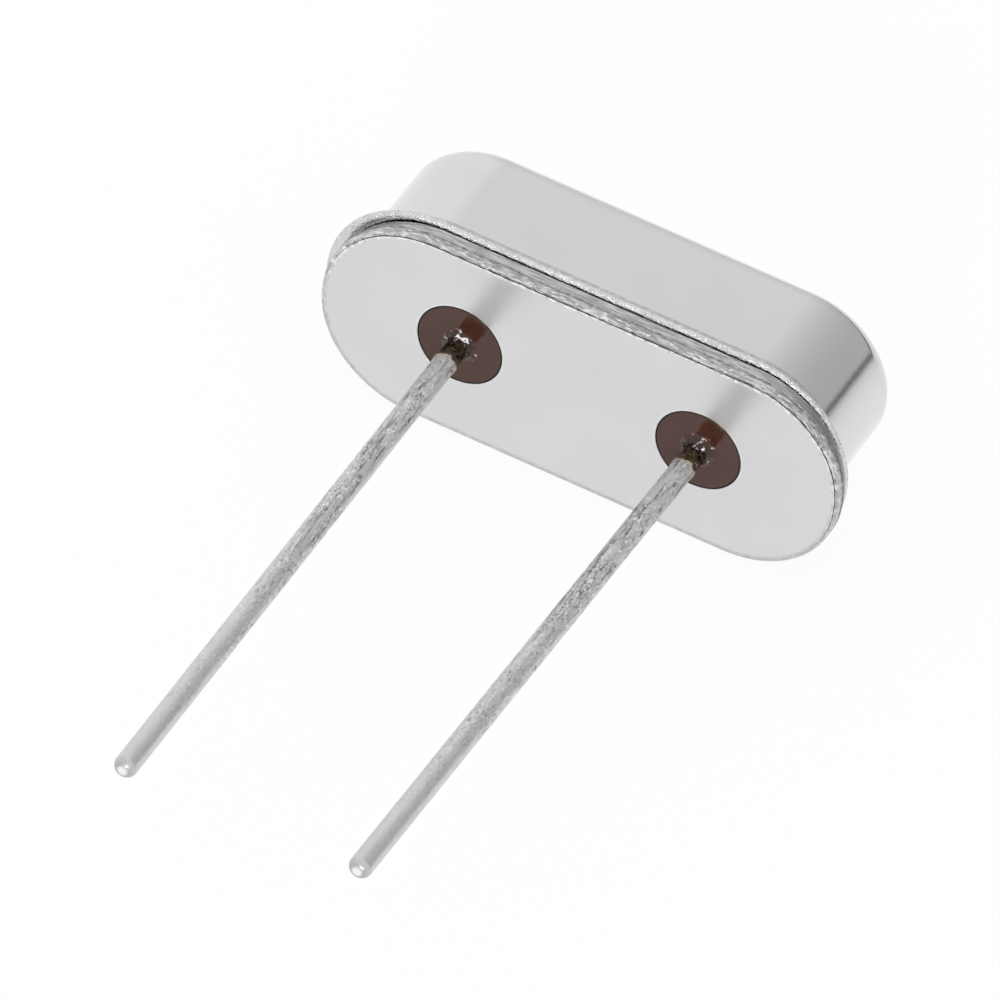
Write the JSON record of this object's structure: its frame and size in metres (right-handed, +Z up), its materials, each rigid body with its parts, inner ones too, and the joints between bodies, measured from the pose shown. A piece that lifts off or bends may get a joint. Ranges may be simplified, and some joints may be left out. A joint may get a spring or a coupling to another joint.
{
  "type": "crystal oscillator",
  "caption": "Quartz crystal in a low-profile oval metal package, with two round tinned leads through brown glass beads in its base.",
  "frame": {"origin": "on the table, midway between the lead tips and the can's far edge and midway between the two leads", "axes": "+X from the left lead to the right lead, -Y the way the leads point (rising from the table), +Z up from the table the package lies on"},
  "size_m": [0.0107, 0.0166, 0.0044],
  "materials": {
    "nickel_can": "satin nickel plate over drawn steel",
    "nickel_base": "bright satin nickel plate, with a sheared grainy rim",
    "sealing_glass": "dark brown opaque glass, fired smooth",
    "tinned_lead": "hot-dipped tin over iron-nickel wire, satin and slightly scratched",
    "spring_clip": "rolled nickel-silver strip",
    "quartz": "fine-lapped, frosted clear",
    "silver_film": "evaporated silver, bright satin",
    "silver_epoxy": "cured silver-filled epoxy, matt"
  },
  "bodies": {
    "root": {"can": "nickel_can", "base": "nickel_base", "glass_bead_left": "sealing_glass", "glass_bead_right": "sealing_glass", "lead_left": "tinned_lead", "lead_right": "tinned_lead", "clip_left": "spring_clip", "clip_right": "spring_clip", "quartz_blank": "quartz", "electrode_can_side": "silver_film", "electrode_base_side": "silver_film", "adhesive_left": "silver_epoxy", "adhesive_right": "silver_epoxy"}
  },
  "joints": []
}
